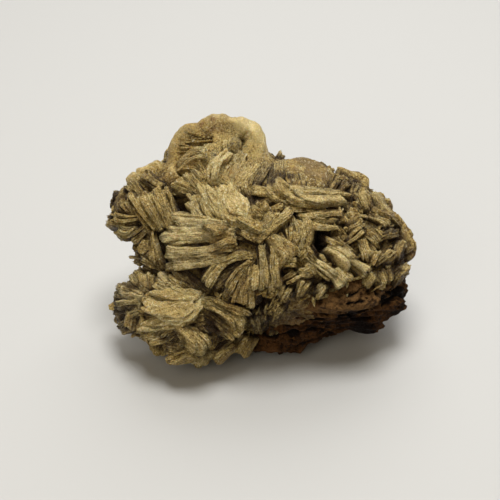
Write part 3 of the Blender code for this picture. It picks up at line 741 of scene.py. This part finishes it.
# The rows of its skin are ridges, numbered from 0, grooves between them, and flanks.
GROOVE_ROW = -1
FLANK_ROW = -2
GROOVE = 0.20
FLANK_LIGHT = 0.35
FLANK_EASE = 0.35
LAYER_WAVE = 0.16
PLATE_CHIPS = 3
TIP_TAPER = 0.6
ROOT_THICKNESS = 0.68
GRAIN_SCALE = np.array((0.22, 1.5, 3.2))
# A sheaf: how close its plates are at the root, and how much they overlap.
FAN = 0.62
OVERLAP = 1.13
FACE_ON = math.radians(45.0)
SHEAF_COLUMNS = 11
# A rougher sheaf lies under each one and fills the ground there.
UNDER_SINK = 2.4
UNDER_WIDTH = 1.5
UNDER_PITCH = 2.0
UNDER_DEPTH = 6.0
UNDER_TONE = 0.55
# Unevenness of the grown plates: size, height, seed. The last is their sugary skin.
PLATE_KNOBS = ((5.0, 0.55, 41), (2.2, 0.20, 44), (1.15, 0.17, 47))
PLATES_APART = 13.7
FIBRE = 0.14
FIBRE_GRAIN = np.array((1.7, 0.7, 0.45))


def blade_outline(length, depth, sample, rng):
    """Outline of a plate seen edge-on: a long crest, a blunt tip, the rest buried."""
    start = rng.uniform(0.45, 0.8)
    power = rng.uniform(2.3, 3.8)
    slant = rng.uniform(-0.02, 0.12)
    straight = np.linspace(0.0, start, max(4, int(length * start / sample)), endpoint=False)
    turn = np.linspace(0.0, math.pi / 2.0, max(9, int((length * (1.0 - start) + 0.8 * depth) / sample)))
    tip_x = start + (1.0 - start) * np.sin(turn) ** (2.0 / power)
    tip_y = 1.0 - np.cos(turn) ** (2.0 / power)
    x = np.concatenate((straight, tip_x - slant * tip_y, (0.66, 0.33, 0.0, 0.0)))
    y = np.concatenate((np.zeros(len(straight)), tip_y, (1.0, 1.0, 1.0, 0.5)))
    y_mm = y * depth + 0.10 * depth * (1.0 - held(x)) ** 2
    return x * length, y_mm, (0.5 * length, 0.95 * depth)


def plate_rows(thickness, flanks):
    """Rows of a plate's skin, from one flank over the rim to the other: place across, inset, kind."""
    layers = max(1, int(round(thickness / LAYER)))
    rows = []
    for i in range(2 * layers + 1):
        across = -1.0 + i / layers
        rounding = 0.20 * thickness * (1.0 - math.sqrt(max(0.0, 1.0 - 0.97 * abs(across) ** 3)))
        groove = GROOVE if i % 2 == 0 and 0 < i < 2 * layers else 0.0
        rows.append((across, rounding + groove, i // 2 if i % 2 else GROOVE_ROW))
    left = [(-1.0, rows[0][1] + inset, FLANK_ROW) for inset in reversed(flanks)]
    right = [(1.0, rows[0][1] + inset, FLANK_ROW) for inset in flanks]
    return left + rows + right, layers


def closed_skin(rings):
    """Points and triangles over rings of points, with a point more in the middle of each end."""
    around = len(rings[0])
    here = np.arange(around)
    after = (here + 1) % around
    faces = []
    for start in range(0, (len(rings) - 1) * around, around):
        a, b = start + here, start + after
        faces += [np.stack((a, a + around, b), axis=1), np.stack((b, a + around, b + around), axis=1)]
    end = (len(rings) - 1) * around
    first = np.full(around, len(rings) * around)
    faces.append(np.stack((here, after, first), axis=1))
    faces.append(np.stack((end + after, end + here, first + 1), axis=1))
    middles = [rings[0].mean(axis=0)[None], rings[-1].mean(axis=0)[None]]
    return np.concatenate(rings + middles), np.concatenate(faces)


def plate(root, way, down, normal, outline, thickness, bow, side, tone, flanks, rng):
    """One blunt plate as points, triangles and masks. It thins towards its root."""
    x_mm, y_mm, centre = outline
    length = x_mm.max()
    depth = y_mm.max()
    to_centre = np.stack((centre[0] - x_mm, centre[1] - y_mm), axis=1)
    reach = np.linalg.norm(to_centre, axis=1) + 1e-6
    to_centre /= reach[:, None]
    inwards = np.outer(to_centre[:, 0], way) + np.outer(to_centre[:, 1], down)
    rows, layers = plate_rows(thickness, flanks)
    steps = rng.uniform(-0.22, 0.22, layers)
    wobble = rng.uniform(0.0, 50.0)
    chips = 0.0
    for _ in range(PLATE_CHIPS):
        chips = chips + rng.uniform(-0.4, 0.4) * np.tanh((x_mm - rng.uniform(0.3, 1.0) * length) * 4.0)
    taper = min(0.35 * length, TIP_TAPER * thickness + 0.8)
    wander = 0.5 + 0.5 * np.sin(x_mm * rng.uniform(0.35, 0.8) + wobble)
    points = []
    grain = []
    crest = []
    inward = []
    for across, inset, kind in rows:
        ease = FLANK_EASE if kind == FLANK_ROW else 1.0
        light = 1.0
        if kind == GROOVE_ROW:
            light = 0.0
            if abs(across) < 0.99:
                inset = inset - GROOVE + 1.7 * GROOVE * wander
        elif kind == FLANK_ROW:
            light = FLANK_LIGHT
        else:
            inset = inset + steps[kind] + LAYER_WAVE * np.sin(x_mm * 0.9 + wobble + kind * 2.1) + chips
        shift = np.minimum(inset, reach * 0.9)
        px = x_mm + to_centre[:, 0] * shift
        py = y_mm + to_centre[:, 1] * shift
        share = held(px / length)
        near_tip = held(1.0 - (length - px) / taper)
        half = 0.5 * thickness * (ROOT_THICKNESS + (1.0 - ROOT_THICKNESS) * share)
        half = half * np.sqrt(1.0 - 0.88 * near_tip**2)
        lean = 4.0 * bow * share * (1.0 - share)
        spot = root + np.outer(px, way) + np.outer(py, down) + np.outer(across * half, normal)
        points.append(spot + np.outer(lean, side))
        grain.append(np.stack((px, py, across * half), axis=1) * GRAIN_SCALE)
        # The crest value is paler up towards the crest and tip, dimmer on the flanks and darkest in the
        # grooves. This is painted light and shade over the paler colour the tips have.
        crest.append(held(1.0 - py / (0.75 * depth)) * (0.35 + 0.65 * share**1.5) * light)
        inward.append(inwards * ease)
    points, faces = closed_skin(points)
    grain = np.concatenate(grain + [np.tile(grain[0].mean(axis=0), (2, 1))])
    a, b, c = np.moveaxis(points[faces] - points[-2], 1, 0)
    if np.einsum("ij,ij->", a, np.cross(b, c)) < 0:
        faces = faces[:, ::-1]
    masks = {
        "grain": grain + rng.uniform(0, 40, 3),
        "crest": np.concatenate(crest + [np.full(2, crest[0].mean())]),
        "tone": np.full(len(points), tone),
        "smooth": np.zeros(len(points)),
        "inward": np.concatenate(inward + [np.zeros((2, 3))]),
    }
    return points, faces, masks


def sheaf(root, tip, outward, width, plates, roll, depth, tone, bow, sample, rng):
    """Plates side by side, fanning a little from root to tip, uneven in thickness, length and height."""
    along = unit(tip - root)
    side = unit(np.cross(along, outward))
    face = np.cross(side, along)
    normal = side * math.cos(roll) + face * math.sin(roll)
    down = np.cross(normal, along)
    if np.dot(down, outward) > 0:
        down = -down
    shares = rng.uniform(0.4, 1.1, plates)
    thick = shares / shares.sum() * width
    middles = np.cumsum(thick) - thick / 2.0 - width / 2.0
    flanks = FLANK_INSETS if sample < UNDER_SAMPLE else FLANK_INSETS[::2]
    made = []
    for place, own in zip(middles, thick):
        start = root + normal * (place * FAN)
        end = tip + normal * (place + rng.uniform(-0.15, 0.15) * own)
        reach = np.linalg.norm(end - start) * (rng.uniform(0.93, 1.10) - 0.12 * (2.0 * place / width) ** 2)
        way = unit(end - start)
        level = unit(down - way * np.dot(down, way))
        across = np.cross(way, level)
        drop = rng.uniform(-0.3, 0.6) + 0.5 * (2.0 * place / width) ** 2
        outline = blade_outline(reach, depth, sample, rng)
        shade = np.clip(tone + rng.uniform(-0.2, 0.15), 0.0, 1.8)
        start = start + level * drop
        made.append(plate(start, way, level, across, outline, own * OVERLAP, bow, side, shade, flanks, rng))
    return made


# A leaf: points round its rim, and its rings from the middle of the top to under the rim.
LEAF_SIDES = 96
LEAF_RINGS = [(share, 1.0) for share in np.linspace(0.08, 0.86, 12)]
LEAF_RINGS += [(0.93, 0.9), (0.98, 0.6), (1.0, 0.0), (0.97, -0.7), (0.85, -1.0)]
LEAF_THICKNESS = 1.5
LEAF_POLISH = 0.3
# The rim's raggedness: its waves, height, seed. The ribs: waves across and along, height, seed.
RIM_WAVES = ((1.6, 0.12, 61), (4.0, 0.05, 67))
RIB_WAVES = ((13.0, 0.2, 1.0, 71), (30.0, 0.3, 0.6, 73))
LEAF_RIBS = 0.5
LEAF_GRAIN = np.array((0.22, 1.5, 1.2))


def leaf(centre, along, side, face, half, tone, rng):
    """One thin leaf lying face out: narrower at its tip, ragged at the rim, ribbed from its root."""
    turn = np.linspace(0.0, 2.0 * math.pi, LEAF_SIDES, endpoint=False)
    offset = rng.uniform(0.0, 90.0)
    own = np.full(LEAF_SIDES, offset)
    rim = 1.0
    for waves, height, seed in RIM_WAVES:
        places = np.column_stack((np.cos(turn) * waves, np.sin(turn) * waves, own))
        rim = rim + height * bumps(places, 1.0, seed)
    x = np.cos(turn) * rim * half[0]
    y = np.sin(turn) * rim * half[1] * (1.0 - 0.45 * np.cos(turn))
    rings = []
    streak = []
    for share, level in LEAF_RINGS:
        spread = np.arctan2(y * share, x * share + 1.4 * half[0])
        ribs = 0.0
        for across, lengthways, height, seed in RIB_WAVES:
            places = np.column_stack((spread * across, x * share * lengthways, own))
            ribs = ribs + height * bumps(places, 1.0, seed)
        height = 0.5 * LEAF_THICKNESS * level + (LEAF_RIBS * ribs if level > 0.0 else 0.0)
        rings.append(np.column_stack((x * share, y * share, height - 0.02 * (y * share) ** 2)))
        streak.append(ribs)
    spots, faces = closed_skin(rings)
    if np.dot(np.cross(along, side), face) < 0:
        faces = faces[:, ::-1]
    points = centre + np.outer(spots[:, 0], along) + np.outer(spots[:, 1], side) + np.outer(spots[:, 2], face)
    # Paler towards the rim: partly painted light, as on the plates' crests, and partly the rims' paler
    # colour.
    pale = np.repeat([share**6 for share, _ in LEAF_RINGS], LEAF_SIDES)
    masks = {
        "grain": spots * LEAF_GRAIN + offset,
        "crest": np.concatenate((0.3 + 0.55 * pale + 0.5 * np.concatenate(streak), (0.3, 0.3))),
        "tone": np.full(len(points), tone),
        "smooth": np.full(len(points), LEAF_POLISH),
        "inward": np.zeros((len(points), 3)),
    }
    return points, faces, masks


def petal(root, tip, outward, width, leaves, roll, tone, rng):
    """A book of leaves lying face out, each a little smaller and turned from the one under it."""
    along = unit(tip - root)
    level = unit(np.cross(along, outward))
    face = np.cross(level, along) * math.sin(roll) + level * math.cos(roll)
    side = np.cross(along, face)
    made = []
    for i in range(leaves):
        turn = rng.uniform(-0.16, 0.16)
        way = along * math.cos(turn) + side * math.sin(turn)
        across = side * math.cos(turn) - along * math.sin(turn)
        size = 1.0 - 0.11 * i * rng.uniform(0.6, 1.2)
        half = (0.5 * np.linalg.norm(tip - root) * size, 0.5 * width * size * rng.uniform(0.85, 1.05))
        centre = (root + tip) / 2.0 + face * (0.85 * LEAF_THICKNESS * (i - leaves / 2.0))
        centre = centre + across * (rng.uniform(-0.1, 0.1) * width) - along * (0.25 * i)
        made.append(leaf(centre, way, across, face, half, tone + rng.uniform(-0.15, 0.15), rng))
    return made


def join_plates(made):
    """Many plates as one mesh, with the fibrous unevenness of grown crystal."""
    skins, faces, masks = zip(*made)
    counts = [len(skin) for skin in skins]
    points = np.concatenate(skins)
    faces = np.concatenate([own + start for own, start in zip(faces, np.cumsum([0] + counts))])
    masks = {name: np.concatenate([own[name] for own in masks]) for name in masks[0]}
    inward = masks.pop("inward")
    spots = points + np.repeat(PLATES_APART * np.arange(len(made)), counts)[:, None]
    for size, height, seed in PLATE_KNOBS:
        push = np.stack([bumps(spots, size, seed + axis) for axis in range(3)], axis=1)
        points = points + push * height
    grain = masks["grain"] * FIBRE_GRAIN
    fibre = bumps(grain, 1.0, 53) + 0.6 * bumps(grain * 2.1, 1.0, 59)
    points = points + inward * (FIBRE * fibre)[:, None]
    masks["crest"] = np.clip(masks["crest"] - 0.30 * fibre, -0.4, 1.0)
    # The rise value is lower close to the mass, in the hood's hollow and in fibre grooves. The colour paints
    # shade there.
    clear = mass_distance(points) + 2.4 + HOOD_SINK * hood(points)[0]
    masks["rise"] = held(clear / 5.5 - 0.16 * np.maximum(fibre, 0.0))
    masks["rust"] = stain(points)
    return points, faces, masks


rng = np.random.default_rng(11)
for region, rows in SHEAVES.items():
    table = np.array([(*row, 0.0)[:SHEAF_COLUMNS] for row in rows])
    roots, _ = face_points(table[:, 0], table[:, 1], table[:, 7] * 0.4)
    tips, outs = face_points(table[:, 2], table[:, 3], table[:, 7])
    made = []
    for row, root, tip, outward in zip(table, roots, tips, outs):
        width, count, roll, _, depth, tone, bow = row[4:]
        count = int(count)
        roll = math.radians(roll)
        if roll > FACE_ON:
            made += petal(root, tip, outward, width, count, roll, tone, rng)
        else:
            made += sheaf(root, tip, outward, width, count, roll, depth, tone, bow, SAMPLE, rng)
        shift = np.cross(unit(tip - root), outward) * rng.uniform(-0.3, 0.3) * width
        below = shift - outward * UNDER_SINK
        width = width * UNDER_WIDTH
        count = max(2, int(round(width / UNDER_PITCH)))
        roll = math.radians(rng.uniform(-20.0, 20.0))
        tone = tone * UNDER_TONE
        made += sheaf(root + below, tip + below, outward, width, count, roll, UNDER_DEPTH, tone, 0.0,
                      UNDER_SAMPLE, rng)
    add_crystals(f"sheaves_{region}", *join_plates(made))

# ---------------------------------------------------------------------------------------------
# The sheaves of the sides, the top and the back: the same books of plates, set over each lobe
# by its form, wherever the display face doesn't reach.

# How many places are tried on each lobe.
SIDE_SHEAVES = {
    "middle": 64, "right": 56, "crest_left": 34, "crest_right": 44, "shoulder": 56,
    "left": 26, "left_waist": 16, "left_foot": 20, "front": 28,
}
SIDE_SAMPLE = 0.9
SIDE_PITCH = 1.7
SIDE_LENGTH = (10.0, 19.0)
SIDE_WIDTH = (3.5, 8.5)
SIDE_DEPTH = 9.0
SIDE_STAND_OFF = (1.5, 4.0)
SIDE_TONE = (0.35, 0.85)
SIDE_ROLL = 25.0
SIDE_FACING_LIMIT = 0.12
SIDE_LOWEST = 6.0
SIDE_OFF_ROCK = 2.0
# How far the ends of a side sheaf bend back to the lobe: 0 leaves them straight, 1 on the skin.
SIDE_HUG = 0.75
# Near the rims of the crest and the left lobe the sheaves lie low, so the rims stay clean.
RIM_LEVEL = 48.0
RIM_LEFT = -44.0
RIM_FACING = -0.6
RIM_LIFT = -1.2
RIM_LENGTH = 0.55
GOLDEN_TURN = math.pi * (3.0 - math.sqrt(5.0))


def side_sheaf_places(name, count):
    """Evenly spread places on a lobe's free skin, with their outward ways and those on its ball."""
    index = np.arange(count)
    z = 1.0 - 2.0 * (index + 0.5) / count
    ring = np.sqrt(1.0 - z * z)
    ways = np.stack((ring * np.cos(index * GOLDEN_TURN), ring * np.sin(index * GOLDEN_TURN), z), axis=1)
    centre, radii = LOBES[name]
    places = np.array(centre, float) + ways * np.array(radii, float)
    others = [lobe for key, lobe in LOBES.items() if key != name] + [ROCK_LUMPS[0]]
    outward = mass_normals(places)
    kept = (outward @ FACE_OUT < SIDE_FACING_LIMIT) & (places[:, 2] > SIDE_LOWEST)
    kept &= lumps_distance(places, others, 0.5) > -0.5
    kept &= lumps_distance(places, SEAT_LUMPS, 1.0) > SIDE_OFF_ROCK
    kept &= worn_share(places)[0] < 0.05
    return places[kept], outward[kept], ways[kept]


rng = np.random.default_rng(23)
for region, count in SIDE_SHEAVES.items():
    made = []
    for place, outward, way in zip(*side_sheaf_places(region, count)):
        flow = np.cross(way, rng.uniform(-1.0, 1.0, 3))
        flow = flow - outward * np.dot(flow, outward)
        half = unit(flow) * rng.uniform(*SIDE_LENGTH) / 2.0
        lift = rng.uniform(*SIDE_STAND_OFF)
        if (place[2] > RIM_LEVEL or place[0] < RIM_LEFT) and outward @ FACE_OUT > RIM_FACING:
            lift = RIM_LIFT
            half = half * RIM_LENGTH
        width = rng.uniform(*SIDE_WIDTH)
        plates = max(1, int(round(width / SIDE_PITCH)))
        roll = math.radians(rng.uniform(-SIDE_ROLL, SIDE_ROLL))
        tone = rng.uniform(*SIDE_TONE)
        ends = np.array((place - half, place + half))
        ends -= mass_normals(ends) * mass_distance(ends)[:, None] * SIDE_HUG
        root = ends[0] + outward * (lift * 0.3)
        tip = ends[1] + outward * lift
        made += sheaf(root, tip, outward, width, plates, roll, SIDE_DEPTH, tone, 0.0, SIDE_SAMPLE, rng)
    if made:
        add_crystals(f"side_sheaves_{region}", *join_plates(made))

# ---------------------------------------------------------------------------------------------
# Small blades: a crust of short crystals, a few millimetres long, that fills the ground between
# the sheaves, thickest over the right lobe and at the foot of the fan.

BLADE_COUNT = 3600
BLADE_LENGTH = (2.2, 6.5)
BLADE_WIDTH = (0.4, 1.0)
BLADE_HALF_THICKNESS = (0.2, 0.5)
BLADE_LIFT = (0.2, 1.6)
BLADE_TONE = (0.1, 0.75)
# How much a blade turns from upright towards lying along the skin.
BLADE_LEAN = 0.55
# Where the ground is set with them: across, up, radius. Elsewhere only this share of the back is.
BLADE_GROUNDS = [
    (38, 8, 17), (5, -21, 8), (31, 27, 8), (40, -8, 14), (-10, -16, 5),
    (22, -14, 9), (15, 22, 7), (-50, 9, 7), (-37, -2, 6),
]
BACK_SHARE = 0.5
BACK_FACING = 0.1
# They keep off worn bosses, hollows, the rock and the ground.
WORN_LIMIT = 0.2
SUNK_LIMIT = 1.5
BLADE_OFF_ROCK = 0.5
BLADE_LOWEST = 4.0
# The blade's six corners, and its four levels: how far through, and how wide.
BLADE_OUTLINE = [(-1.0, 0.0), (-0.75, 0.62), (0.45, 0.8), (1.0, 0.28), (0.9, -0.4), (-0.4, -0.72)]
BLADE_LEVELS = ((-1.0, 0.82), (-0.55, 1.0), (0.55, 1.0), (1.0, 0.82))


def blade_template():
    """A flat six-cornered blade with bevelled rims, one long each way from its middle."""
    outline = np.array(BLADE_OUTLINE)
    points = np.concatenate([np.column_stack((outline * size, np.full(6, z))) for z, size in BLADE_LEVELS])
    faces = [(0, i + 1, i) for i in range(1, 5)] + [(18, 18 + i, 19 + i) for i in range(1, 5)]
    for level in range(3):
        for i in range(6):
            j = (i + 1) % 6
            a, b = level * 6 + i, level * 6 + j
            faces += [(a, b, a + 6), (b, b + 6, a + 6)]
    return points, np.array(faces)


def scatter_blades(count, rng):
    """Blades set over the mass, each leaning at random and part sunk in it."""
    pick = rng.integers(0, len(mass_points), count)
    places = mass_points[pick]
    outward = mass_out[pick]
    facing = outward @ FACE_OUT
    radii = np.array([radius for _, _, radius in BLADE_GROUNDS])
    near = np.linalg.norm(places[:, None] - face_spots(BLADE_GROUNDS)[None], axis=2)
    free = (near < radii).any(axis=1) | (facing < BACK_FACING) & (rng.uniform(size=count) < BACK_SHARE)
    free &= ~((places[:, 2] > RIM_LEVEL) & (facing > RIM_FACING) & (facing < BACK_FACING))
    free &= lumps_distance(places, SEAT_LUMPS, 1.0) > BLADE_OFF_ROCK
    free &= (worn[pick] < WORN_LIMIT) & (sunk[pick] < SUNK_LIMIT) & (places[:, 2] > BLADE_LOWEST)
    places, outward = places[free], outward[free]
    count = len(places)
    along = rng.normal(size=(count, 3))
    along = unit(along - outward * (np.sum(along * outward, axis=1) * BLADE_LEAN)[:, None])
    flat = unit(np.cross(along, rng.normal(size=(count, 3))))
    normal = np.cross(along, flat)
    length = rng.uniform(*BLADE_LENGTH, count) * 0.5
    wide = length * rng.uniform(*BLADE_WIDTH, count)
    thick = rng.uniform(*BLADE_HALF_THICKNESS, count)
    shape, faces = blade_template()
    points = places[:, None, :] + outward[:, None, :] * rng.uniform(*BLADE_LIFT, count)[:, None, None]
    for axis, (way, size) in enumerate(((along, length), (flat, wide), (normal, thick))):
        points = points + way[:, None, :] * (shape[None, :, axis:axis + 1] * size[:, None, None])
    corners = len(shape)
    triangles = (faces[None] + (np.arange(count) * corners)[:, None, None]).reshape(-1, 3)
    tone = np.repeat(rng.uniform(*BLADE_TONE, count), corners)
    grain = points * 0.6 + rng.uniform(0, 30, (count, 1, 3))
    return points.reshape(-1, 3), triangles, tone, grain.reshape(-1, 3)


rng = np.random.default_rng(37)
points, faces, tone, grain = scatter_blades(BLADE_COUNT, rng)
masks = {
    "tone": tone,
    "crest": np.full(len(points), 0.35),
    # The rise value is lower close to the mass, where the colour paints shade.
    "rise": held((mass_distance(points) + 3.6) / 4.5),
    "rust": stain(points),
    "grain": grain,
}
blades = add_crystals("small_blades", points, faces, masks)
blades.data.polygons.foreach_set("use_smooth", np.zeros(len(blades.data.polygons), dtype=bool))

# ---------------------------------------------------------------------------------------------
# The stand: a plain pale board, a soft lamp above, a wide one above and behind, a weak warm fill
# from the front left, and the camera that looks down on the display face. Lengths are in metres.

BOARD_SIZE = 3.0
BOARD_COLOUR = (0.56, 0.565, 0.562, 1.0)
# Place, size, power, colour.
LAMPS = {
    "top_lamp": ((0.03, -0.05, 0.90), 0.45, 6.8, (1.0, 0.985, 0.955)),
    "back_lamp": ((0.10, 0.60, 0.70), 0.90, 4.8, (1.0, 0.99, 0.98)),
    "front_fill": ((-0.30, -0.78, 0.66), 0.70, 2.4, (1.0, 0.91, 0.77)),
}
LAMP_TARGET = Vector((0.0, 0.0, 0.03))
ROOM_COLOUR = (1.0, 0.84, 0.58, 1.0)
ROOM_STRENGTH = 0.13
# Half the width the camera sees at the specimen, in mm.
HALF_VIEW = 91.25

bpy.ops.mesh.primitive_plane_add(size=BOARD_SIZE, location=(0.0, 0.0, 0.0))
board = bpy.context.object
board.name = "board"
board_material = bpy.data.materials.new("pale_board")
board_material.use_nodes = True
board_shader = board_material.node_tree.nodes["Principled BSDF"]
plug(board_shader, {"Base Color": BOARD_COLOUR, "Roughness": 0.7, "Specular IOR Level": 0.2})
board.data.materials.append(board_material)

for name, (place, size, power, colour) in LAMPS.items():
    lamp = bpy.data.lights.new(name, "AREA")
    lamp.shape = "DISK"
    lamp.size = size
    lamp.energy = power
    lamp.color = colour
    item = bpy.data.objects.new(name, lamp)
    bpy.context.scene.collection.objects.link(item)
    item.location = place
    item.rotation_euler = (LAMP_TARGET - Vector(place)).to_track_quat("-Z", "Y").to_euler()

world = bpy.data.worlds.new("soft_room")
bpy.context.scene.world = world
world.use_nodes = True
plug(world.node_tree.nodes["Background"], {"Color": ROOM_COLOUR, "Strength": ROOM_STRENGTH})

camera_data = bpy.data.cameras.new("camera")
camera_data.angle = 2.0 * math.atan(HALF_VIEW / SIGHT)
camera = bpy.data.objects.new("camera", camera_data)
bpy.context.scene.collection.objects.link(camera)
camera.location = Vector(EYE * MM)
camera.rotation_euler = Vector(-FACE_OUT).to_track_quat("-Z", "Y").to_euler()
bpy.context.scene.camera = camera
bpy.context.scene.view_settings.view_transform = "Standard"
